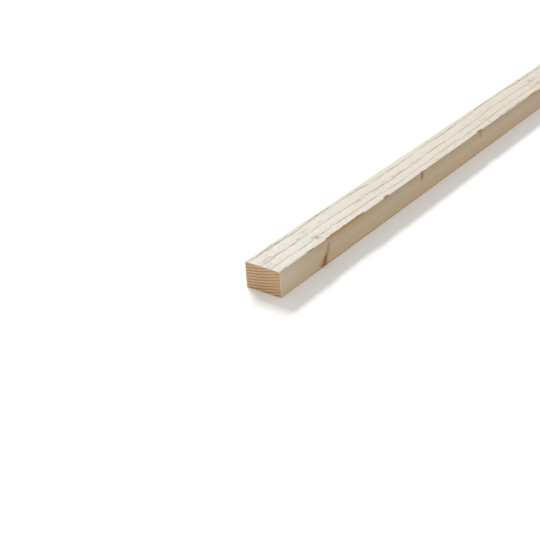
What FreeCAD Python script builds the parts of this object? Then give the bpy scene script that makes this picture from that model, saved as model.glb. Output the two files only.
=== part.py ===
"""Sawn softwood batten, as a parametric FreeCAD document.

The batten is one length of timber with a rectangular section, lying on its broad face. Its length runs
along X, its width along Y and its thickness along Z. The origin is in the middle of the underside.

It is made the way a sawmill makes it: one section is drawn and run out to the full length, the four long
arrises are eased by the same small radius, and both ends are left as the cross-cut saw leaves them, square
and sharp.
"""
import FreeCAD
import Part
import Sketcher
import os

# ---------------------------------------------------------------- driving dimensions, in millimetres
SIZES = (
    ("batten_length", 2400.0, "end to end, one of the lengths in the 300 mm sawn timber series"),
    ("section_width", 56.0, "broad face, which is the one that lies down"),
    ("section_thickness", 38.0, "narrow face, which stands up"),
    ("arris_radius", 0.6, "easing of the four long arrises"),
)

SHEET = "Sizes"
NODE = "batten"


def size_sheet(doc):
    """The spreadsheet that drives every sketch and feature: name, value and meaning in a row each."""
    sheet = doc.addObject("Spreadsheet::Sheet", SHEET)
    for row, (alias, value, meaning) in enumerate(SIZES, start=1):
        sheet.set(f"A{row}", alias)
        sheet.set(f"B{row}", str(value))
        sheet.set(f"C{row}", meaning)
        sheet.setAlias(f"B{row}", alias)
    doc.recompute()
    return sheet


def origin_plane(body, role):
    """One of the body's own origin planes, found by its role, such as YZ_Plane."""
    return next(plane for plane in body.Origin.OriginFeatures if plane.Role == role)


def section_sketch(body):
    """The sawn section on the YZ plane: a rectangle that stands on the Y axis and is centred on Z."""
    sketch = body.newObject("Sketcher::SketchObject", "Section")
    sketch.AttachmentSupport = (origin_plane(body, "YZ_Plane"), [""])
    sketch.MapMode = "FlatFace"

    sheet = body.Document.getObject(SHEET)
    half_width, thickness = sheet.section_width / 2, sheet.section_thickness
    corners = [
        FreeCAD.Vector(-half_width, 0, 0),
        FreeCAD.Vector(half_width, 0, 0),
        FreeCAD.Vector(half_width, thickness, 0),
        FreeCAD.Vector(-half_width, thickness, 0),
    ]
    underside, front, top, back = (
        sketch.addGeometry(Part.LineSegment(corners[i], corners[(i + 1) % 4]), False) for i in range(4)
    )
    start, end, horizontal_axis, vertical_axis = 1, 2, -1, -2
    for line, following in ((underside, front), (front, top), (top, back), (back, underside)):
        sketch.addConstraint(Sketcher.Constraint("Coincident", line, end, following, start))
    sketch.addConstraint(Sketcher.Constraint("PointOnObject", underside, start, horizontal_axis))
    sketch.addConstraint(Sketcher.Constraint("Symmetric", underside, start, underside, end, vertical_axis))
    sketch.addConstraint(Sketcher.Constraint("Horizontal", top))
    for line in (front, back):
        sketch.addConstraint(Sketcher.Constraint("Vertical", line))

    width = sketch.addConstraint(
        Sketcher.Constraint("DistanceX", underside, start, underside, end, sheet.section_width)
    )
    sketch.renameConstraint(width, "width")
    sketch.setExpression("Constraints.width", f"{SHEET}.section_width")
    depth = sketch.addConstraint(
        Sketcher.Constraint("DistanceY", front, start, front, end, sheet.section_thickness)
    )
    sketch.renameConstraint(depth, "thickness")
    sketch.setExpression("Constraints.thickness", f"{SHEET}.section_thickness")
    body.Document.recompute()
    return sketch


def sawn_length(body, sketch):
    """The section run out along X to the full length, half of it each way from the origin."""
    pad = body.newObject("PartDesign::Pad", "SawnLength")
    pad.Profile = sketch
    pad.Midplane = True
    pad.setExpression("Length", f"{SHEET}.batten_length")
    sketch.Visibility = False
    body.Document.recompute()
    return pad


def long_arrises(shape):
    """Names of the edges that run along X from end to end."""
    reach = shape.BoundBox.XLength
    return [
        f"Edge{number}"
        for number, edge in enumerate(shape.Edges, start=1)
        if abs(edge.BoundBox.XLength - reach) < reach * 1e-6
    ]


def eased_arrises(body, pad):
    """The same small radius on the four long arrises. The ends keep their sharp saw-cut edges."""
    easing = body.newObject("PartDesign::Fillet", "EasedArrises")
    easing.Base = (pad, long_arrises(pad.Shape))
    easing.setExpression("Radius", f"{SHEET}.arris_radius")
    body.Document.recompute()
    return easing


def batten(doc):
    """The one piece of timber."""
    body = doc.addObject("PartDesign::Body", "Batten")
    body.Label = NODE
    body.Placement = FreeCAD.Placement()
    pad = sawn_length(body, section_sketch(body))
    eased_arrises(body, pad)
    return body


def check(doc, bodies):
    """Stops the script if any object failed to recompute or a piece isn't one valid closed solid."""
    doc.recompute()
    for thing in doc.Objects:
        if {"Invalid", "Error"} & set(thing.State):
            raise RuntimeError(f"{thing.Name} failed to recompute: {thing.State}")
    for body in bodies:
        shape = body.Shape
        if shape.isNull() or not shape.isValid() or len(shape.Solids) != 1:
            raise RuntimeError(f"{body.Label} is not one valid solid")


def main():
    doc = FreeCAD.newDocument("TimberBatten")
    size_sheet(doc)
    bodies = [batten(doc)]
    check(doc, bodies)
    os.makedirs("parts", exist_ok=True)
    for body in bodies:
        body.Shape.exportStep(f"parts/{body.Label}.step")
        box = body.Shape.BoundBox
        print(
            f"{body.Label}: {box.XLength:.1f} x {box.YLength:.1f} x {box.ZLength:.1f} mm,"
            f" {body.Shape.Volume / 1000:.1f} cm3, {len(body.Shape.Faces)} faces"
        )


main()
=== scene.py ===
# %% [markdown]
# # A rough-sawn timber batten
#
# The object is one length of sawn spruce, 38 x 56 mm and 2.4 m long. A bandsaw leaves its two broad faces
# woolly and torn, a finer saw leaves its two narrow faces nearly smooth, and a cross-cut leaves its ends
# square. This lesson builds it in four steps: the viewpoint and the studio, the tree that the wood grew in,
# the sawn surface as one closed mesh, and the finishes. Everything that the mesh and the finishes share,
# such as the growth rings and the knots, is written once and used by both.

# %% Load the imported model
import math

import bpy
import numpy as np
from mathutils import Matrix, Vector
from mathutils.geometry import delaunay_2d_cdt


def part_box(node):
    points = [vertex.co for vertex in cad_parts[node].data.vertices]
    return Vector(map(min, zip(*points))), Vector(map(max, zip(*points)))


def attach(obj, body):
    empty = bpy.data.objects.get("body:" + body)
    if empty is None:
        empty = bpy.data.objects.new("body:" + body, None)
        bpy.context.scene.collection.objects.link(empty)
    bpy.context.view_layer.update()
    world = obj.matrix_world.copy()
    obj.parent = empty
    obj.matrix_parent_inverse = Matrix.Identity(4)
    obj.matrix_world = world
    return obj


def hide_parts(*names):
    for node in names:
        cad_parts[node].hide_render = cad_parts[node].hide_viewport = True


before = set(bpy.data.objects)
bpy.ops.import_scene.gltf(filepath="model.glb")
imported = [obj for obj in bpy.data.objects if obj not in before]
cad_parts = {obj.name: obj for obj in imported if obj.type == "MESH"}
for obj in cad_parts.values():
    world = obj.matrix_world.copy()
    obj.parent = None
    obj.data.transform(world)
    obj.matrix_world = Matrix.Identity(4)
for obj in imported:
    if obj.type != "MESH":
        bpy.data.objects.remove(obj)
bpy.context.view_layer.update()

MM = 0.001
low, high = (np.array(corner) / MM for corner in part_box("batten"))
LENGTH, WIDTH, THICKNESS = high - low
NEAR = low[0]
print(f"batten {LENGTH:.0f} x {WIDTH:.0f} x {THICKNESS:.0f} mm, near end at x = {NEAR:.0f} mm")

# %% [markdown]
# ## The viewpoint
#
# A long thing reads best from just past one of its ends, a little above it. The camera could be aimed with a
# constraint, but three turns say more plainly what it does: how far it swings from the length of the batten,
# how far it looks down, and how far it leans. The lens is a short telephoto, which keeps the end square.

# %% Camera
STAND = Vector((NEAR - 888.3, -743.7, 679.7)) * MM
SWING, LOOK_DOWN, LEAN = (math.radians(angle) for angle in (39.44, 29.19, 4.18))
TURN_TO_LENGTH = math.radians(-90)

camera_data = bpy.data.cameras.new("camera")
camera_data.sensor_width = 36
camera_data.lens = 69.4
camera = bpy.data.objects.new("camera", camera_data)
bpy.context.scene.collection.objects.link(camera)
swing = Matrix.Rotation(TURN_TO_LENGTH + SWING, 4, "Z")
tilt = Matrix.Rotation(math.pi / 2 - LOOK_DOWN, 4, "X")
lean = Matrix.Rotation(-LEAN, 4, "Z")
camera.matrix_world = Matrix.Translation(STAND) @ swing @ tilt @ lean
bpy.context.scene.camera = camera
bpy.context.scene.view_settings.view_transform = "Standard"
print("camera stands", [round(value, 3) for value in STAND])

# %% [markdown]
# ## Helpers for node materials
#
# A colour is picked on screen as an sRGB hex value, while a shader wants linear light, so one function turns
# one into the other. Another adds any node with its settings and links, so that a material reads as a list
# of what feeds what.


# %% Colour and node helpers
def linear(hex_colour):
    """A colour written as RRGGBB, as the linear RGBA that a shader socket takes."""
    parts = [int(hex_colour[i : i + 2], 16) / 255 for i in (0, 2, 4)]
    return tuple(p / 12.92 if p <= 0.04045 else ((p + 0.055) / 1.055) ** 2.4 for p in parts) + (1.0,)


def add(tree, kind, inputs=None, **settings):
    """A node of a kind, with its settings, and a value or a link for each named or numbered input."""
    node = tree.nodes.new("ShaderNode" + kind)
    for name, value in settings.items():
        setattr(node, name, value)
    for name, value in (inputs or {}).items():
        socket = node.inputs[name]
        if isinstance(value, bpy.types.NodeSocket):
            tree.links.new(value, socket)
        else:
            socket.default_value = value
    return node


def new_tree(owner):
    """The owner's node tree, emptied."""
    owner.use_nodes = True
    owner.node_tree.nodes.clear()
    return owner.node_tree


# %% [markdown]
# ## The studio
#
# The floor is plain white paper. Its colour makes it white, and a little light of its own, which only the
# camera sees, lifts it to a clean white where nothing shades it, while the shadow stays. The main lamp is a
# strip light high behind the batten and parallel to it: narrow across, so that the long shadow has a firm
# edge, and long, so that the shadow of the end fades. The world fills the rest with even light.

# %% Floor, world and lamp
FLOOR_REACH = 40.0
FLOOR_LIFT = 0.08
WORLD_LIGHT = 0.58


def seen_directly(tree):
    """1 for a ray from the camera, or one that a glossy or clear surface passes on, and 0 for other light."""
    rays = add(tree, "LightPath").outputs
    seen = rays["Is Camera Ray"]
    for ray in ("Is Glossy Ray", "Is Transmission Ray"):
        seen = add(tree, "Math", {0: seen, 1: rays[ray]}, operation="MAXIMUM").outputs[0]
    return seen


paper = bpy.data.materials.new("white_paper")
tree = new_tree(paper)
lift = add(tree, "Math", {0: seen_directly(tree), 1: FLOOR_LIFT}, operation="MULTIPLY")
sheet = add(tree, "BsdfDiffuse", {"Color": linear("FCFAF7")})
glow = add(tree, "Emission", {"Color": linear("FFFFFF"), "Strength": lift.outputs[0]})
both = add(tree, "AddShader", {0: sheet.outputs[0], 1: glow.outputs[0]})
add(tree, "OutputMaterial", {"Surface": both.outputs[0]})

floor_mesh = bpy.data.meshes.new("floor")
corners = [(x, y, 0.0) for x, y in ((-1, -1), (1, -1), (1, 1), (-1, 1))]
floor_mesh.from_pydata([(x * FLOOR_REACH, y * FLOOR_REACH, z) for x, y, z in corners], [], [(0, 1, 2, 3)])
floor_mesh.materials.append(paper)
floor = bpy.data.objects.new("floor", floor_mesh)
bpy.context.scene.collection.objects.link(floor)

world = bpy.data.worlds.new("studio")
bpy.context.scene.world = world
tree = new_tree(world)
level = add(tree, "Mix", {"Factor": seen_directly(tree), "A": WORLD_LIGHT, "B": 1.0}, data_type="FLOAT")
sky = add(tree, "Background", {"Color": linear("FFFFFF"), "Strength": level.outputs["Result"]})
add(tree, "OutputWorld", {"Surface": sky.outputs[0]})

# For each metre of height, the strip stands 0.98 m behind the batten, and runs along it from 0.4 m to 1.2 m
# past the near end. It is hung high enough to light the whole length evenly.
HANG = 12.0
strip = bpy.data.lights.new("strip_light", "AREA")
strip.shape = "RECTANGLE"
strip.size = 0.8 * HANG
strip.size_y = 0.24 * HANG
strip.energy = 3500.0
lamp = bpy.data.objects.new("strip_light", strip)
bpy.context.scene.collection.objects.link(lamp)
lamp_place = Vector((NEAR * MM + 0.80 * HANG, 0.98 * HANG, HANG))
lamp_face = Vector((0.0, -0.98, -1.0)).to_track_quat("-Z", "Y")
lamp.matrix_world = Matrix.Translation(lamp_place) @ lamp_face.to_matrix().to_4x4()
print("strip light hangs at", [round(value, 2) for value in lamp_place])

# %% [markdown]
# ## How the tree grew
#
# A batten is cut from the outer part of a log, so the middle of the tree, the pith, lies well outside it, up
# and to the back. Each year adds a ring round the pith: wide pale earlywood, then narrow dark latewood with a
# sharp outer edge. The pith line isn't quite straight, which makes the grain wander. Four slow waves say by
# how much, and both the mesh and the finishes read them, so that a tear in the surface lies on its ring.

# %% Rings
PITH_Y = 75.0
PITH_Z = 336.0
FIRST_RING = 303.1
RING_WIDTH = 4.2
# length of each wave, how far it moves the pith up and across, and where it starts, in mm and radians
WAVES = ((620.0, 0.50, 0.9, 0.4), (233.0, 0.24, 0.5, 2.1), (97.0, 0.11, 0.3, 4.0), (41.0, 0.05, 0.1, 1.2))


def pith(along):
    """Where the pith is, in y and z, at a distance along from the near end."""
    up = sum(rise * np.sin(2 * np.pi * along / length + start) for length, rise, _, start in WAVES)
    across = sum(side * np.cos(2 * np.pi * along / length + start) for length, _, side, start in WAVES)
    return PITH_Y + across, PITH_Z + up


# %% [markdown]
# ## Knots
#
# A knot is the foot of a branch. It starts near the pith, widens outwards and leans along the trunk, and a
# small one is soon grown over again. Sawn across, it shows as a spot, and sawn along, as a spike. Here each
# is a spindle round a line that leaves the pith: the place where it is widest, its half-width there, its
# lean, and how far it reaches each way. A live knot is grown in and pale, and a dead one has a dark rim.

# %% Knots
FRONT, BACK = low[1], high[1]
# along, across, height, half-width, lean, reach: all in mm but the lean
LIVE_KNOTS = [
    (101.5, -13.5, 38.0, 4.2, 0.15, 24.0),
    (106.0, FRONT, 20.0, 3.2, 0.34, 20.0),
    (84.5, 2.6, 38.0, 1.9, 0.20, 12.0),
    (257.5, -25.0, 38.0, 1.9, -0.30, 6.0),
    (539.5, FRONT, 34.0, 2.6, 0.10, 20.0),
    (576.0, -7.0, 38.0, 1.5, 0.10, 12.0),
    (581.0, -22.0, 38.0, 1.6, 0.20, 12.0),
]
DEAD_KNOTS = [
    (96.5, FRONT, 1.5, 4.3, 0.34, 26.0),
    (353.8, FRONT, 32.5, 1.8, 0.05, 30.0),
    (318.0, 1.6, 38.0, 0.8, 0.10, 6.0),
    (518.5, FRONT, 0.5, 1.3, 0.10, 5.0),
]
# Past the part that shows most, branches come in rings round the trunk, a year's growth apart.
knot_luck = np.random.default_rng(14)
for whorl in (782.0, 1023.0, 1256.0, 1521.0, 1748.0, 2004.0, 2231.0):
    for place, knots in enumerate((LIVE_KNOTS, LIVE_KNOTS, DEAD_KNOTS)):
        across = FRONT + WIDTH * (place + knot_luck.uniform(0.15, 0.85)) / 3
        half_width = knot_luck.uniform(2.2, 5.2) * (0.6 if knots is DEAD_KNOTS else 1.0)
        lean = knot_luck.uniform(0.1, 0.3)
        height = THICKNESS * knot_luck.uniform(0.1, 0.9)
        knots.append((whorl + knot_luck.uniform(-16, 16), across, height, half_width, lean, 90.0))


FAN = 0.55  # branches stand steeper than the rings under them, by this share


def branch(knot):
    """A knot's place, the unit line that it follows outwards, its half-width and its reach."""
    along, across, height, half_width, lean, reach = knot
    outward = np.array((0.0, FAN * (across - PITH_Y), height - PITH_Z))
    outward /= np.linalg.norm(outward)
    line = np.array((-lean, outward[1], outward[2]))
    return np.array((along, across, height)), line / np.linalg.norm(line), half_width, reach


def nearness(points, knots):
    """How many half-widths each point is from the middle of its nearest knot."""
    nearest = np.full(len(points), 20.0)
    for knot in knots:
        place, line, half_width, reach = branch(knot)
        offset = points - place
        along = offset @ line
        aside = np.linalg.norm(np.cross(offset, line), axis=1)
        width = half_width * np.maximum(1 - np.abs(along) / reach, 0.04)
        nearest = np.minimum(nearest, aside / width)
    return nearest


KNOT_PUSH = 2.4
PUSH_FADE = 0.33


def ring_count(points):
    """Rings between the first one in the batten and each point: whole at each ring's sharp outer edge."""
    across, up = pith(points[:, 0])
    radius = np.hypot(points[:, 1] - across, points[:, 2] - up)
    beside = np.minimum(nearness(points, LIVE_KNOTS), nearness(points, DEAD_KNOTS))
    return (radius + KNOT_PUSH * np.exp(-PUSH_FADE * beside**2) - FIRST_RING) / RING_WIDTH


section = np.array([(0.0, 0.0, z) for z in (0.0, THICKNESS)])
print("rings down the middle of the section:", np.round(np.ptp(ring_count(section)), 1))
print(len(LIVE_KNOTS), "live knots and", len(DEAD_KNOTS), "dead ones")

# %% [markdown]
# ## What the saw leaves
#
# On a broad face the rings come up at a shallow angle, so the saw's teeth lift the soft earlywood out from
# under the hard edge of the ring above it. That leaves a long groove by each ring's edge, deep in one place
# and faint in the next, with fibres torn out between them. The relief is a depth for each point of a face, a
# sum of these things, because formulas give every place its own depth and the same result each time. Soft
# random fields give the raggedness.


# %% Random fields
def field(u, v, seed):
    """A smooth random value from 0 to 1 for each u and v, changing over a distance of about 1."""
    lattice = np.random.default_rng(seed).random((256, 256))
    u0, v0 = np.floor(u).astype(int), np.floor(v).astype(int)
    fu, fv = u - u0, v - v0
    fu, fv = fu * fu * (3 - 2 * fu), fv * fv * (3 - 2 * fv)
    a, b = lattice[u0 % 256, v0 % 256], lattice[(u0 + 1) % 256, v0 % 256]
    c, d = lattice[u0 % 256, (v0 + 1) % 256], lattice[(u0 + 1) % 256, (v0 + 1) % 256]
    return (a * (1 - fu) + b * fu) * (1 - fv) + (c * (1 - fu) + d * fu) * fv


def ease(value, start, end):
    """0 before start, 1 after end and smooth between."""
    t = np.clip((value - start) / (end - start), 0, 1)
    return t * t * (3 - 2 * t)


# %% Relief of a broad face
# depth of a groove and of a tear, in mm, and how far a groove's two sides run from the ring's edge, in rings
GROOVE = 0.42
TEAR_DEPTH = 0.3
OUTER_SIDE, INNER_SIDE = 0.05, 0.025


def broad_face(along, across, height, seed):
    """Depth below the highest fibres of a broad face, in mm, and how torn it is there, from 0 to 1."""
    points = np.stack([along + 0 * across, across, np.full_like(across, height)], axis=1)
    rings = ring_count(points)
    edge = np.round(rings)
    off_edge = rings - edge
    strength = 0.45 + 0.55 * ease(field(along / 24, edge * 3.7, seed + 2), 0.25, 0.6)
    reach = np.where(off_edge > 0, OUTER_SIDE, INNER_SIDE)
    groove = strength * np.exp(-((off_edge / reach) ** 2))
    tear = ease(field(along / 13, across / 0.9, seed + 4), 0.66, 0.85) * ease(
        field(along / 60, across / 9, seed + 5), 0.30, 0.7
    )
    wool = 0.10 * field(along / 9, across / 0.8, seed + 6) + 0.04 * field(along / 25, across / 5, seed + 7)
    sawn = 0.012 * np.sin(2 * np.pi * (along + 0.35 * across) / 8.0)
    by_arris = ease(np.minimum(across - FRONT, BACK - across), 0.2, 2.5)
    depth = 0.05 + by_arris * (GROOVE * groove + TEAR_DEPTH * tear + wool) + sawn
    return depth, np.clip(groove + 0.8 * tear, 0, 1) * by_arris


def top_relief(along, across):
    back_roll = 0.25 * field(along / 45, 0 * along, 63) * np.clip(1 - (BACK - across) / 4.0, 0, 1) ** 2
    return broad_face(along, across, THICKNESS, 100)[0] + back_roll


def under_relief(along, across):
    return broad_face(along, across, 0.0, 200)[0] * 0.4


# %% [markdown]
# A narrow face is cut with the rings nearly square to it, by a finer saw. The hard latewood stands a few
# hundredths of a millimetre proud, in long fine ridges, and the dead knots have shrunk and sit a little low.


# %% Relief of a narrow face
def narrow_relief(along, height, side, seed):
    points = np.stack([along + 0 * height, np.full_like(height, side), height], axis=1)
    rings = ring_count(points)
    ridge = (rings - np.floor(rings)) ** 3
    dead = nearness(points, DEAD_KNOTS)
    crack = 0.45 * (1 - ease(np.abs(dead - 0.85), 0.0, 0.35)) + 0.25 * (1 - ease(dead, 0.3, 0.8))
    waves = 0.07 * field(along / 45, height / 14, seed) + 0.05 * field(along / 9, height / 1.6, seed + 1)
    return 0.02 + 0.07 * (1 - ridge) + crack + waves


def front_relief(along, height):
    return narrow_relief(along, height, FRONT, 300)


def back_relief(along, height):
    return narrow_relief(along, height, BACK, 400)


# %% [markdown]
# ## The skin
#
# The batten is one closed mesh, because the real one is one piece of wood. It could start as a box that is
# cut finely and displaced, but a box spends as many faces on the plain parts as on the torn ones. Here a loop
# of points round the section is repeated at stations along the length. The points crowd together at the
# arrises and on the top, and the stations crowd together near the end that is seen close.


# %% Loop round the section and stations along the length
def spread(start, end, step):
    """Places from start up to, but without, end: fine steps by both corners and even ones between."""
    total = abs(end - start)
    fine = np.array([0.0, 0.22, 0.5, 0.9, 1.4, 2.1])
    count = int(round((total - 2 * fine[-1]) / step))
    middle = np.linspace(fine[-1], total - fine[-1], count + 1)[1:-1]
    places = np.concatenate([fine, middle, total - fine[::-1]])[:-1]
    return start + places * np.sign(end - start)


top_y, under_y = spread(BACK, FRONT, 0.65), spread(FRONT, BACK, 1.7)
front_z, back_z = spread(THICKNESS, 0.0, 1.25), spread(0.0, THICKNESS, 1.6)
loop_y = np.concatenate([top_y, np.full(len(front_z), FRONT), under_y, np.full(len(back_z), BACK)])
loop_z = np.concatenate([np.full(len(top_y), THICKNESS), front_z, np.zeros(len(under_y)), back_z])
ROUND = len(loop_y)

MOST_TRIANGLES = 197000
CAP_TRIANGLES = 9000
station_count = (MOST_TRIANGLES - CAP_TRIANGLES) // (2 * ROUND)
share = np.linspace(0, 1, station_count)
END_STEP = 0.45
pace = END_STEP + 1.7 * ease(share, 0.0, 0.02) + 6.6 * ease(share, 0.56, 0.72)
pace = np.where(share > 0.985, END_STEP * 2, pace)
stations = np.cumsum(pace) - pace[0]
stations *= LENGTH / stations[-1]
print(ROUND, "points round the section and", station_count, "stations along the length")


# %% Shape of the skin
# Chips out of the front top arris: middle, half-length and depth, in mm.
CHIPS = ((150, 44, 2.1), (255, 4.5, 2.2), (538, 5.0, 2.0), (733, 14, 1.2), (68, 6.0, 0.9), (520, 14, 0.4))
CHIP_LEAN = 0.8


def worn_away(along, side, level):
    """How far back each arris is worn, and how much that slope faces sideways."""
    edge = 0 * along + 7 * side + 3 * level
    worn = 0.05 + 0.15 * field(along / 14, edge, 71) + 0.4 * ease(field(along / 6, edge, 72), 0.75, 0.95)
    lean_out = 0.5 + 0.4 * field(along / 30, edge, 73)
    if level > 0:
        worn = 0.02 + 0.10 * field(along / 14, edge, 75)
    if side < 0 and level > 0:
        chip = sum(cut * (1 - ease(abs(along - middle), half, half + 4.0)) for middle, half, cut in CHIPS)
        chip = chip * (0.8 + 0.4 * field(along / 7, edge, 74))
        lean_out = np.where(chip > worn, CHIP_LEAN, lean_out)
        worn = np.maximum(worn, chip)
    return worn, lean_out


def sawn_shape(along, across, height):
    """A plain box's points moved to the sawn surface, with the arrises worn, and how deep the wear is."""
    wear = 0 * along
    y = np.clip(across, FRONT + front_relief(along, height), BACK - back_relief(along, height))
    z = np.clip(height, under_relief(along, across), THICKNESS - top_relief(along, across))
    for side, edge_y in ((-1, FRONT), (1, BACK)):
        for level in (-1, 1):
            corner_z = THICKNESS - 0.2 if level > 0 else 0.1
            corner_y = edge_y - side * 0.1
            worn, lean_out = worn_away(along, side, level)
            normal_y, normal_z = side * lean_out, level * np.sqrt(1 - lean_out**2)
            excess = np.maximum((y - corner_y) * normal_y + (z - corner_z) * normal_z + worn, 0)
            y, z = y - excess * normal_y, z - excess * normal_z
            wear = np.maximum(wear, excess)
    return y, z, wear


grid_x = np.repeat(stations, ROUND)
grid_y, grid_z, grid_wear = sawn_shape(grid_x, np.tile(loop_y, station_count), np.tile(loop_z, station_count))
print("skin from", np.round(grid_z.min(), 2), "to", np.round(grid_z.max(), 2), "mm high")


# %% [markdown]
# The two ends are cut square across the rings. A cross-cut saw scores fine lines over them, and the latewood
# stands a little proud of the earlywood. Each end is filled with triangles between the loop and an even grid
# of points, which share the loop's own points, so that the skin stays closed.


# %% Ends
def end_relief(along, across, height, seed):
    """Depth of an end face at each point, in mm."""
    points = np.stack([along, across, height], axis=1)
    rings = ring_count(points)
    late = (rings - np.floor(rings)) ** 3
    score = 0.5 + 0.5 * np.sin(2 * np.pi * (height + 0.22 * across + 0.004 * across**2) / 2.3)
    rough = field(across / 1.1, height / 1.1, seed)
    return 0.10 * (1 - late) + 0.07 * score + 0.10 * rough


def end_points(step):
    """An even grid of places over the section, clear of its edge by about half a step."""
    columns, rows = int((WIDTH - step) / step), int((THICKNESS - step) / step)
    across = np.linspace(FRONT + 0.7 * step, BACK - 0.7 * step, columns)
    up = np.linspace(0.7 * step, THICKNESS - 0.7 * step, rows)
    return [(y, z) for y in across for z in up]


def fill_section(step):
    """Triangles over the section: the loop's points come first, in their own order."""
    outline = list(zip(loop_y.tolist(), loop_z.tolist()))
    places = [Vector(place) for place in outline + end_points(step)]
    edges = [(i, (i + 1) % ROUND) for i in range(ROUND)]
    points, _, faces, *_ = delaunay_2d_cdt(places, edges, [], 1, 1e-5)
    return [tuple(point) for point in points], [tuple(face) for face in faces]


section_points, section_faces = fill_section(1.15)
print(len(section_faces), "triangles on each end")

# %% Build the skin
verts = [np.stack([grid_x, grid_y, grid_z], axis=1)]
faces = []
for row in range(station_count - 1):
    for i in range(ROUND):
        a, b = row * ROUND + i, row * ROUND + (i + 1) % ROUND
        faces.append((a, b, b + ROUND, a + ROUND))
side_face_count = len(faces)

inner = np.array(section_points[ROUND:])
for first, along, sign in ((0, 0.0, 1), ((station_count - 1) * ROUND, LENGTH, -1)):
    start = sum(len(part) for part in verts)
    flat = np.full(len(inner), along)
    inner_y, inner_z, _ = sawn_shape(flat, inner[:, 0], inner[:, 1])
    depth = end_relief(flat, inner_y, inner_z, 500 + sign)
    verts.append(np.stack([along + sign * depth, inner_y, inner_z], axis=1))
    for face in section_faces:
        face = [first + i if i < ROUND else start + i - ROUND for i in face]
        faces.append(tuple(face if sign < 0 else reversed(face)))

verts = np.concatenate(verts)
for rows, along, sign in ((slice(0, ROUND), 0.0, 1), (slice(len(grid_x) - ROUND, len(grid_x)), LENGTH, -1)):
    rim = verts[rows]
    verts[rows, 0] = along + sign * end_relief(np.full(ROUND, along), rim[:, 1], rim[:, 2], 500 + sign)
# The highest fibre of each face touches the sawn size.
for axis in range(3):
    least, most = verts[:, axis].min(), verts[:, axis].max()
    verts[:, axis] = low[axis] + (verts[:, axis] - least) * (high[axis] - low[axis]) / (most - least)

skin_mesh = bpy.data.meshes.new("sawn_batten")
skin_mesh.from_pydata((verts * MM).tolist(), [], faces)
skin_mesh.validate()
skin = bpy.data.objects.new("sawn_batten", skin_mesh)
bpy.context.scene.collection.objects.link(skin)
print(len(skin_mesh.vertices), "points,", sum(len(f) - 2 for f in faces), "triangles")
torn = skin_mesh.attributes.new("torn", "FLOAT", "POINT")
torn_top = broad_face(grid_x, grid_y, THICKNESS, 100)[1]
torn_under = broad_face(grid_x, grid_y, 0.0, 200)[1]
torn_grid = np.where(grid_z > THICKNESS / 2, torn_top, torn_under)
chipped = skin_mesh.attributes.new("chipped", "FLOAT", "POINT")
for attribute, values in ((torn, torn_grid), (chipped, ease(grid_wear, 0.12, 0.4))):
    attribute.data.foreach_set("value", np.concatenate([values, np.zeros(len(verts) - len(values))]))
# How the skin is laid out flat for baking: four lengths side by side, then the two ends beside them.
STRIPS = 4
SHEET_GAP = 4.0
strip_length = LENGTH / STRIPS
strip_pitch = 2 * (WIDTH + THICKNESS) + SHEET_GAP
sheet_size = STRIPS * strip_pitch + THICKNESS + SHEET_GAP
steps = np.hypot(*(np.roll(part, -1) - part for part in (loop_y, loop_z)))
round_the_loop = np.concatenate([[0.0], np.cumsum(steps)])
flat_layout = skin_mesh.uv_layers.new(name="OFBake")
layout = []
for number, face in enumerate(faces):
    if number < side_face_count:
        row, place = divmod(number, ROUND)
        strip_number = min(int(stations[row] / strip_length), STRIPS - 1)
        across = [round_the_loop[place + step] + strip_number * strip_pitch for step in (0, 1, 1, 0)]
        along = [stations[row + step] - strip_number * strip_length for step in (0, 0, 1, 1)]
    else:
        first_end = face[0] < ROUND or verts[face[0], 0] < 0
        corners = verts[list(face)]
        across = corners[:, 2] + STRIPS * strip_pitch
        along = corners[:, 1] - low[1] + (0.0 if first_end else WIDTH + SHEET_GAP)
    layout.append(np.stack([across, along], axis=1) / sheet_size)
flat_layout.uv.foreach_set("vector", np.concatenate(layout).ravel())
print("laid out flat on a sheet", round(sheet_size), "mm wide")
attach(skin, "root")
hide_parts("batten")

# %% [markdown]
# ## Torn fibres
#
# Up close a rough-sawn face is hairy: slivers are lifted at one end and still held at the other. Each is a
# thin three-sided spike that leaves the face at a low angle. Hair curves would need a particle system and
# wouldn't be solid, so the spikes are one mesh, made in one go from rows of numbers.

# %% Fibres
def fibres(count, seed):
    """Roots, tips and half-thicknesses of slivers on the broad faces and along their arrises."""
    luck = np.random.default_rng(seed)
    along = LENGTH * luck.random(count) ** 1.35
    along = np.clip(along, 1.0, LENGTH - 30)
    across = luck.uniform(FRONT + 0.6, BACK - 0.6, count)
    by_arris = luck.random(count) < 0.12
    across = np.where(by_arris, FRONT + 0.4 + luck.exponential(1.6, count), across)
    across = np.clip(across, FRONT + 0.4, BACK - 0.6)
    length = 3 + luck.exponential(4.5, count)
    lift = luck.uniform(0.03, 0.14, count)
    aside = luck.normal(0, 0.035, count) * length
    aside = np.clip(aside, FRONT + 0.4 - across, BACK - 0.4 - across)
    return along, across, np.minimum(length, 26), lift, aside, luck.uniform(0.06, 0.15, count)


SOUND_WEAR = 0.02  # the most wear, in mm, that a sliver's footing may have


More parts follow.
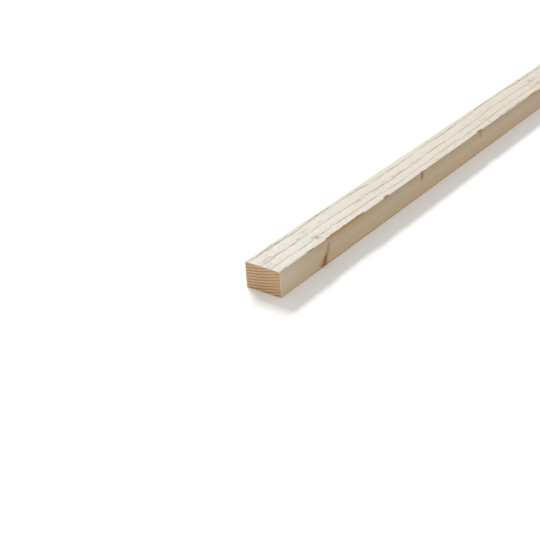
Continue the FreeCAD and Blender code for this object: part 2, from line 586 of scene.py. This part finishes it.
def sliver_mesh(name, count, seed, upward):
    """One mesh of slivers on the top, or on the underside where upward is -1."""
    slivers = fibres(count, seed)
    along, across, length, _, aside, _ = slivers
    # a sliver needs wood under its whole length, so none hangs over a chipped arris
    face = np.full(count, THICKNESS if upward > 0 else 0.0)
    sound = np.ones(count, dtype=bool)
    for part in np.linspace(0, 1, 6):
        sound &= sawn_shape(along + part * length, across + part * aside, face)[2] < SOUND_WEAR
    along, across, length, lift, aside, half = (values[sound] for values in slivers)
    count = len(along)
    relief = top_relief if upward > 0 else under_relief
    rings, turn = 4, 3
    points = np.zeros((count, rings * turn + 1, 3))
    for ring in range(rings):
        part = ring / rings
        x, y = along + part * length, across + part * aside
        z = relief(x, y) - lift * np.sin(part * np.pi * 0.62) + 0.12 * (1 - part)
        wide = half * (1 - part) ** 0.6
        for corner in range(turn):
            angle = 2 * np.pi * corner / turn + np.pi / 6
            points[:, ring * turn + corner, 0] = x
            points[:, ring * turn + corner, 1] = y + wide * 1.5 * np.cos(angle)
            points[:, ring * turn + corner, 2] = z + wide * 0.7 * np.sin(angle)
    tip_x, tip_y = along + length, across + aside
    points[:, -1] = np.stack([tip_x, tip_y, relief(tip_x, tip_y) - lift], axis=1)
    points[..., 1] = np.clip(points[..., 1], FRONT + 0.02, BACK - 0.02)
    points[..., 2] = np.maximum(points[..., 2], 0.02)
    if upward > 0:
        points[..., 2] = THICKNESS - points[..., 2]
    points[..., 0] += NEAR
    sides = [(r * turn + c, r * turn + (c + 1) % turn) for r in range(rings - 1) for c in range(turn)]
    quads = np.array([(a, b, b + turn, a + turn) for a, b in sides])
    last = (rings - 1) * turn
    caps = np.array([(last + c, last + (c + 1) % turn, rings * turn) for c in range(turn)] + [(2, 1, 0)])
    offsets = (np.arange(count) * (rings * turn + 1))[:, None, None]
    faces = (quads[None] + offsets).reshape(-1, 4).tolist() + (caps[None] + offsets).reshape(-1, 3).tolist()
    mesh = bpy.data.meshes.new(name)
    mesh.from_pydata((points.reshape(-1, 3) * MM).tolist(), [], faces)
    if upward > 0:
        mesh.flip_normals()
    piece = bpy.data.objects.new(name, mesh)
    bpy.context.scene.collection.objects.link(piece)
    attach(piece, "root")
    print(name, count, "slivers,", 2 * len(quads) * count + len(caps) * count, "triangles")
    return piece


top_fibres = sliver_mesh("top_fibres", 8500, 21, 1)
under_fibres = sliver_mesh("under_fibres", 3500, 22, -1)

# %% [markdown]
# ## What the finishes share
#
# All the finishes are the same spruce, cut three ways, so they read one node group that says where a point is
# in the tree: how far through its ring, and how near a knot. It repeats, in nodes, what the pith, branch and
# ring functions above say, so that the colour follows the shape.

# %% Node group of the tree
growth = bpy.data.node_groups.new("spruce_growth", "ShaderNodeTree")
for name in ("Ring", "Live", "Dead", "Place X", "Place Y", "Place Z"):
    growth.interface.new_socket(name, in_out="OUTPUT", socket_type="NodeSocketFloat")
growth.interface.new_socket("Place", in_out="OUTPUT", socket_type="NodeSocketVector")


def maths(tree, operation, *values):
    """The result of one Math node."""
    return add(tree, "Math", dict(enumerate(values)), operation=operation).outputs[0]


def vectors(tree, operation, *values):
    """The one Vector Math node that does this."""
    return add(tree, "VectorMath", dict(enumerate(values)), operation=operation)


def near_knots(tree, place, knots):
    """The nearness function in nodes."""
    nearest = 20.0
    for knot in knots:
        centre, line, half_width, reach = branch(knot)
        offset = vectors(tree, "SUBTRACT", place, tuple(centre)).outputs[0]
        along = vectors(tree, "DOT_PRODUCT", offset, tuple(line)).outputs["Value"]
        aside = vectors(tree, "CROSS_PRODUCT", offset, tuple(line)).outputs[0]
        aside = vectors(tree, "LENGTH", aside).outputs["Value"]
        along = maths(tree, "ABSOLUTE", along)
        width = maths(tree, "MULTIPLY_ADD", along, -half_width / reach, half_width)
        width = maths(tree, "MAXIMUM", width, half_width * 0.04)
        nearest = maths(tree, "MINIMUM", nearest, maths(tree, "DIVIDE", aside, width))
    return nearest


place = add(growth, "TexCoord").outputs["Object"]
place = vectors(growth, "MULTIPLY_ADD", place, (1 / MM,) * 3, (-NEAR, 0.0, 0.0)).outputs[0]
axes = add(growth, "SeparateXYZ", {0: place}).outputs
shift_up, shift_across = PITH_Z, PITH_Y
for length, rise, side, start in WAVES:
    turn = maths(growth, "MULTIPLY_ADD", axes["X"], 2 * math.pi / length, start)
    shift_up = maths(growth, "MULTIPLY_ADD", maths(growth, "SINE", turn), rise, shift_up)
    shift_across = maths(growth, "MULTIPLY_ADD", maths(growth, "COSINE", turn), side, shift_across)
from_pith_y = maths(growth, "SUBTRACT", axes["Y"], shift_across)
from_pith_z = maths(growth, "SUBTRACT", axes["Z"], shift_up)
from_pith = add(growth, "CombineXYZ", {"Y": from_pith_y, "Z": from_pith_z})
radius = vectors(growth, "LENGTH", from_pith.outputs[0]).outputs["Value"]
live = near_knots(growth, place, LIVE_KNOTS)
dead = near_knots(growth, place, DEAD_KNOTS)
beside = maths(growth, "MINIMUM", live, dead)
push = maths(growth, "MULTIPLY", maths(growth, "POWER", beside, 2.0), -PUSH_FADE)
push = maths(growth, "MULTIPLY", maths(growth, "EXPONENT", push), KNOT_PUSH)
rings = maths(growth, "ADD", radius, push)
rings = maths(growth, "DIVIDE", maths(growth, "SUBTRACT", rings, FIRST_RING), RING_WIDTH)
results = {"Ring": rings, "Live": live, "Dead": dead, "Place": place}
results |= {f"Place {axis}": axes[axis] for axis in "XYZ"}
out = growth.nodes.new("NodeGroupOutput")
for name, socket in results.items():
    growth.links.new(socket, out.inputs[name])
print(len(growth.nodes), "nodes say where a point is in the tree")

# %% [markdown]
# ## Finishes
#
# Sawn spruce is pale and dry, with no coating, so every finish has the IOR of wood, about 1.5, and is rough.
# What differs is how the saw met the grain. The end shows the rings as bands. The narrow faces show them as
# faint fine lines. The broad faces are covered with lifted fibres, which scatter the light and look almost
# white, partly through painted sheen, with a darker line, partly painted shade, where a ring's edge was torn.


# %% Parts of a finish
def noise(tree, place, size, detail=3.0, rough=0.55):
    """A soft random value, with the size of its spots in mm along, across and up."""
    scaled = vectors(tree, "DIVIDE", place, size).outputs[0]
    settings = {"Vector": scaled, "Scale": 1.0, "Detail": detail, "Roughness": rough}
    return add(tree, "TexNoise", settings).outputs["Fac"]


def ramp(tree, value, *stops):
    """Colours by value: each stop is a position and a hex colour."""
    node = add(tree, "ValToRGB", {"Fac": value})
    elements = node.color_ramp.elements
    while len(elements) < len(stops):
        elements.new(0.5)
    for element, (position, colour) in zip(elements, stops):
        element.position = position
        element.color = linear(colour)
    return node.outputs["Color"]


def between(tree, value, start, end):
    """0 at start, 1 at end and smooth between, as the ease function is."""
    settings = {"Value": value, "From Min": start, "From Max": end}
    return add(tree, "MapRange", settings, interpolation_type="SMOOTHSTEP").outputs["Result"]


def tint(tree, amount, under, over):
    """One colour laid over another by an amount."""
    over = linear(over) if isinstance(over, str) else over
    mix = add(tree, "Mix", data_type="RGBA", clamp_factor=True)
    for name, value in (("Factor_Float", amount), ("A_Color", under), ("B_Color", over)):
        socket = next(s for s in mix.inputs if s.identifier == name)
        if isinstance(value, bpy.types.NodeSocket):
            tree.links.new(value, socket)
        else:
            socket.default_value = value
    return next(s for s in mix.outputs if s.identifier == "Result_Color")


# Rings of colour round a knot: how far out each fades away and is full, in half-widths, how strong, and what.
SPIKE_LIVE = ((3.6, 0.6, 0.40, "B8956A"), (1.30, 0.90, 0.70, "A0763F"), (0.75, 0.35, 0.45, "C9A875"))
SPIKE_DEAD = ((3.6, 0.9, 0.60, "A67F50"), (1.25, 0.95, 0.90, "5E3C1C"), (0.85, 0.50, 0.85, "A87A4A"))
SPOT_LIVE = (
    (3.0, 1.3, 0.22, "C9B99C"),
    (1.30, 1.00, 0.45, "A8926C"),
    (0.92, 0.70, 0.40, "DDD3C0"),
    (0.62, 0.25, 0.8, "9C7A48"),
)
SPOT_DEAD = ((3.0, 1.0, 0.30, "B09A78"), (1.20, 0.80, 0.70, "6B4A2A"))


def knot_tint(tree, colour, where, live_rings, dead_rings):
    """The finish's colour with its knots on it, a little ragged at the edges."""
    ragged = noise(tree, where["Place"], (2.5, 1.2, 1.2))
    blur = add(tree, "MapRange", {"Value": ragged, "To Min": -0.35, "To Max": 0.35})
    for kind, rings in (("Live", live_rings), ("Dead", dead_rings)):
        near = maths(tree, "ADD", where[kind], blur.outputs["Result"])
        for faded, full, amount, over in rings:
            share = maths(tree, "MULTIPLY", between(tree, near, faded, full), amount)
            colour = tint(tree, share, colour, over)
    return colour


def chip_tint(tree, colour, amount):
    """The finish's colour where an arris is chipped: fresh latewood, golden and not yet grey."""
    chipped = add(tree, "Attribute", attribute_name="chipped").outputs["Fac"]
    return tint(tree, maths(tree, "MULTIPLY", between(tree, chipped, 0.2, 0.7), amount), colour, "BF9358")


def finish(name, colour_of, roughness, bump_of, bump_mm):
    """A wood finish: a colour and a height, each worked out from where the point is in the tree."""
    material = bpy.data.materials.new(name)
    tree = new_tree(material)
    group = tree.nodes.new("ShaderNodeGroup")
    group.node_tree = growth
    where = group.outputs
    colour = colour_of(tree, where)
    bump = add(tree, "Bump", {"Height": bump_of(tree, where), "Strength": 1.0, "Distance": bump_mm * MM})
    rough = noise(tree, where["Place"], (9.0, 1.0, 1.0))
    rough = add(
        tree, "MapRange", {"Value": rough, "To Min": roughness - 0.1, "To Max": roughness + 0.1}
    ).outputs["Result"]
    inputs = {"Base Color": colour, "Roughness": rough, "IOR": 1.5, "Normal": bump.outputs["Normal"]}
    shader = add(tree, "BsdfPrincipled", inputs)
    add(tree, "OutputMaterial", {"Surface": shader.outputs[0]})
    print(name, len(tree.nodes), "nodes")
    return material


def ring_share(tree, where, wobble):
    """How far through its ring a point is, from 0 to 1, with a little fine wobble."""
    shift = noise(tree, where["Place"], (30.0, 5.0, 5.0))
    shift = maths(tree, "MULTIPLY_ADD", shift, wobble, where["Ring"])
    return maths(tree, "FRACT", shift)


# %% [markdown]
# The cross-cut end: the saw cuts the wood's tubes square, so it takes in light and looks darker and warmer
# than the faces. Earlywood is honey tan and latewood orange brown, with a soft inner side and a sharp outer
# one. The top and back rims carry a painted highlight, where the light catches the edges, and the end is
# painted lighter towards the front, against the shade there.


# %% Cross-cut end
def end_colour(tree, where):
    share = ring_share(tree, where, 0.16)
    colour = ramp(
        tree,
        share,
        (0.0, "D4B896"),
        (0.35, "D2B48F"),
        (0.62, "C8A274"),
        (0.80, "B6814F"),
        (0.95, "A0612D"),
        (1.0, "D4B896"),
    )
    faded = between(tree, noise(tree, where["Place"], (9.0, 14.0, 4.0)), 0.45, 0.75)
    colour = tint(tree, maths(tree, "MULTIPLY", faded, 0.3), colour, "BFA079")
    pores = between(tree, noise(tree, where["Place"], (0.5, 0.5, 0.5)), 0.55, 0.75)
    colour = tint(tree, maths(tree, "MULTIPLY", pores, 0.25), colour, "8E6A42")
    # Painted light: the end is lightened towards the front, against the shade that falls on its lower front
    # part.
    painted_light_front = between(tree, where["Place Y"], 6.0, FRONT)
    colour = tint(tree, maths(tree, "MULTIPLY", painted_light_front, 0.22), colour, "E6BC88")
    # Painted highlight: the top and back rims of the end are paler and golden, where the light catches the
    # edges.
    top_highlight = between(tree, where["Place Z"], THICKNESS - 2.2, THICKNESS - 0.5)
    back_highlight = between(tree, where["Place Y"], BACK - 2.0, BACK - 0.5)
    rim = maths(tree, "MAXIMUM", top_highlight, back_highlight)
    colour = tint(tree, maths(tree, "MULTIPLY", rim, 0.65), colour, "E2BD86")
    return knot_tint(tree, colour, where, SPIKE_LIVE, SPIKE_DEAD)


def end_bump(tree, where):
    score = add(
        tree,
        "TexWave",
        {"Vector": where["Place"], "Scale": 0.14, "Distortion": 2.0, "Detail": 2.0, "Detail Scale": 1.0},
        bands_direction="Z",
    ).outputs["Fac"]
    pores = noise(tree, where["Place"], (0.7, 0.7, 0.7))
    return maths(tree, "MULTIPLY_ADD", pores, 0.7, maths(tree, "MULTIPLY", score, 0.3))


cross_cut_end = finish("cross_cut_spruce", end_colour, 0.72, end_bump, 0.25)


# %% [markdown]
# The narrow faces: a fine saw leaves the wood smooth enough to show its own colour, a warm straw, with a
# faint line for each ring. Long fine streaks along the grain are the open tubes. The front face is in shade:
# painted shade makes it greyer towards the top, painted light thrown back by the floor makes it yellower
# towards the bottom, and a painted contact shadow makes it darkest along its lower arris. The back face,
# which faces the lamp, is painted darker and greyer, and both faces are painted paler towards the near end,
# with a pale stripe at the end itself.


# %% Fine-sawn narrow faces
def narrow_colour(tree, where):
    share = ring_share(tree, where, 0.12)
    colour = ramp(
        tree,
        share,
        (0.0, "D6C4AA"),
        (0.45, "D3C0A5"),
        (0.78, "CAB395"),
        (0.93, "AE9270"),
        (1.0, "D6C4AA"),
    )
    streak = between(tree, noise(tree, where["Place"], (45.0, 0.9, 0.7)), 0.35, 0.7)
    colour = tint(tree, maths(tree, "MULTIPLY", streak, 0.28), colour, "B9A07C")
    cloud = between(tree, noise(tree, where["Place"], (120.0, 20.0, 9.0)), 0.4, 0.7)
    colour = tint(tree, maths(tree, "MULTIPLY", cloud, 0.35), colour, "D6BC93")
    shaded_front = between(tree, where["Place Y"], BACK, FRONT)
    # Painted shade: the shaded front face is greyer towards the top.
    painted_shade_top = maths(tree, "MULTIPLY", between(tree, where["Place Z"], 18.0, 38.0), shaded_front)
    colour = tint(tree, maths(tree, "MULTIPLY", painted_shade_top, 0.58), colour, "A48F72")
    # Painted light: warm light that the floor throws back onto the lower front face.
    painted_floor_light = maths(tree, "MULTIPLY", between(tree, where["Place Z"], 16.0, 0.0), shaded_front)
    colour = tint(tree, maths(tree, "MULTIPLY", painted_floor_light, 0.6), colour, "E3C69C")
    # Painted shadow: a dark band along the lower front arris, for the contact shadow where the batten meets
    # the floor.
    painted_contact_shadow = maths(tree, "MULTIPLY", between(tree, where["Place Z"], 2.4, 0.5), shaded_front)
    colour = tint(tree, maths(tree, "MULTIPLY", painted_contact_shadow, 0.5), colour, "7A5B38")
    # Painted shade: the back face, which faces the lamp, is darkened and greyed.
    painted_back_shade = between(tree, where["Place Y"], 0.0, BACK)
    colour = tint(tree, maths(tree, "MULTIPLY", painted_back_shade, 0.5), colour, "B4A589")
    # Painted light: both narrow faces are paler towards the near end.
    painted_near_light = between(tree, where["Place X"], 110.0, 10.0)
    colour = tint(tree, maths(tree, "MULTIPLY", painted_near_light, 0.45), colour, "E0D2BA")
    end_band = between(tree, where["Place X"], 2.2, 0.6)
    colour = tint(tree, maths(tree, "MULTIPLY", end_band, 0.6), colour, "F0E2C8")
    return knot_tint(tree, chip_tint(tree, colour, 0.8), where, SPIKE_LIVE, SPIKE_DEAD)


def narrow_bump(tree, where):
    return noise(tree, where["Place"], (22.0, 0.6, 0.5), 4.0, 0.6)


fine_sawn_face = finish("fine_sawn_spruce", narrow_colour, 0.62, narrow_bump, 0.18)


# %% [markdown]
# The broad faces: the bandsaw's teeth leave the fibres lifted, and each one catches the light, so the face is
# nearly white, partly from the pale fibres and partly from painted sheen. It is darker and browner in the
# tears and at the ring edges, where the saw bit deeper. The thin line at each ring edge is also partly
# painted shade of the torn step, and the faces are painted darker away from the near end.


# %% Rough-sawn broad faces
def tear_line(tree, where):
    """The thin ragged line where the saw broke through a ring's hard edge, from 0 to 1."""
    jag = noise(tree, where["Place"], (8.0, 3.0, 3.0), 4.0, 0.65)
    edge = maths(tree, "MULTIPLY_ADD", maths(tree, "SUBTRACT", jag, 0.5), 0.26, where["Ring"])
    edge = maths(tree, "FRACT", maths(tree, "ADD", edge, 0.5))
    edge = maths(tree, "ABSOLUTE", maths(tree, "SUBTRACT", edge, 0.5))
    strong = between(tree, noise(tree, where["Place"], (22.0, 8.0, 8.0)), 0.36, 0.56)
    width = maths(tree, "MULTIPLY_ADD", strong, 0.030, 0.012)
    return maths(tree, "MULTIPLY", between(tree, maths(tree, "DIVIDE", edge, width), 1.0, 0.3), 0.9)


def broad_colour(tree, where):
    share = ring_share(tree, where, 0.10)
    # Partly the pale lifted fibres and partly painted sheen: the near-white colours stand in for the light
    # that the fibres scatter forward.
    colour = ramp(
        tree,
        share,
        (0.0, "EEEBE5"),
        (0.55, "EBE8E1"),
        (0.85, "E6E1D9"),
        (0.97, "E1DBCE"),
        (1.0, "EEEBE5"),
    )
    wool = between(tree, noise(tree, where["Place"], (12.0, 1.3, 1.3), 4.0, 0.65), 0.45, 0.72)
    colour = tint(tree, maths(tree, "MULTIPLY", wool, 0.4), colour, "DBD1C1")
    streak = between(tree, noise(tree, where["Place"], (10.0, 1.6, 1.6), 3.0, 0.7), 0.50, 0.64)
    colour = tint(tree, maths(tree, "MULTIPLY", streak, 0.50), colour, "C1B49F")
    speck = between(tree, noise(tree, where["Place"], (2.4, 1.5, 1.5), 2.0, 0.5), 0.50, 0.68)
    colour = tint(tree, maths(tree, "MULTIPLY", speck, 0.40), colour, "CEC3B4")
    cloud = between(tree, noise(tree, where["Place"], (60.0, 12.0, 9.0)), 0.45, 0.7)
    colour = tint(tree, maths(tree, "MULTIPLY", cloud, 0.35), colour, "E1D9CB")
    # Painted shade: the broad faces are darkened away from the near end, for light and sheen that fade along
    # the length.
    away = between(tree, where["Place X"], -40.0, 300.0)
    colour = tint(tree, maths(tree, "MULTIPLY", away, 0.70), colour, "D8CFC0")
    far = between(tree, where["Place X"], 330.0, 700.0)
    colour = tint(tree, maths(tree, "MULTIPLY", far, 0.22), colour, "C2B59E")
    ragged = noise(tree, where["Place"], (6.0, 0.5, 0.5), 3.0, 0.6)
    torn = add(tree, "Attribute", attribute_name="torn").outputs["Fac"]
    torn = between(tree, maths(tree, "MULTIPLY_ADD", ragged, 0.5, torn), 0.55, 1.1)
    colour = tint(tree, maths(tree, "MULTIPLY", torn, 0.6), colour, "AC8A5C")
    # Partly the browner wood of the torn ring edge and partly painted shade of the fine step that the edge
    # leaves.
    colour = tint(tree, maths(tree, "MULTIPLY", tear_line(tree, where), 0.85), colour, "946D3D")
    return knot_tint(tree, chip_tint(tree, colour, 1.0), where, SPOT_LIVE, SPOT_DEAD)


def broad_bump(tree, where):
    fibre = noise(tree, where["Place"], (9.0, 0.6, 0.6), 5.0, 0.65)
    wool = noise(tree, where["Place"], (2.0, 1.2, 1.2), 4.0, 0.6)
    height = maths(tree, "MULTIPLY_ADD", wool, 0.6, fibre)
    return maths(tree, "MULTIPLY_ADD", tear_line(tree, where), -0.8, height)


rough_sawn_face = finish("rough_sawn_spruce", broad_colour, 0.85, broad_bump, 0.4)

# %% Which finish is where
for material in (rough_sawn_face, fine_sawn_face, cross_cut_end):
    skin_mesh.materials.append(material)
counts = (len(top_y), len(front_z), len(under_y), len(back_z))
by_place = np.repeat((0, 1, 0, 1), counts)
by_place[(loop_y == BACK) & (loop_z > THICKNESS - 1.0)] = 0
finishes = np.full(len(faces), 2)
finishes[:side_face_count] = np.tile(by_place, station_count - 1)
skin_mesh.polygons.foreach_set("material_index", finishes.astype(np.int32))
skin_mesh.polygons.foreach_set("use_smooth", np.ones(len(faces), dtype=bool))
skin_mesh.set_sharp_from_angle(angle=math.radians(35))
for piece in (top_fibres, under_fibres):
    piece.data.materials.append(rough_sawn_face)
    piece.data.shade_smooth()
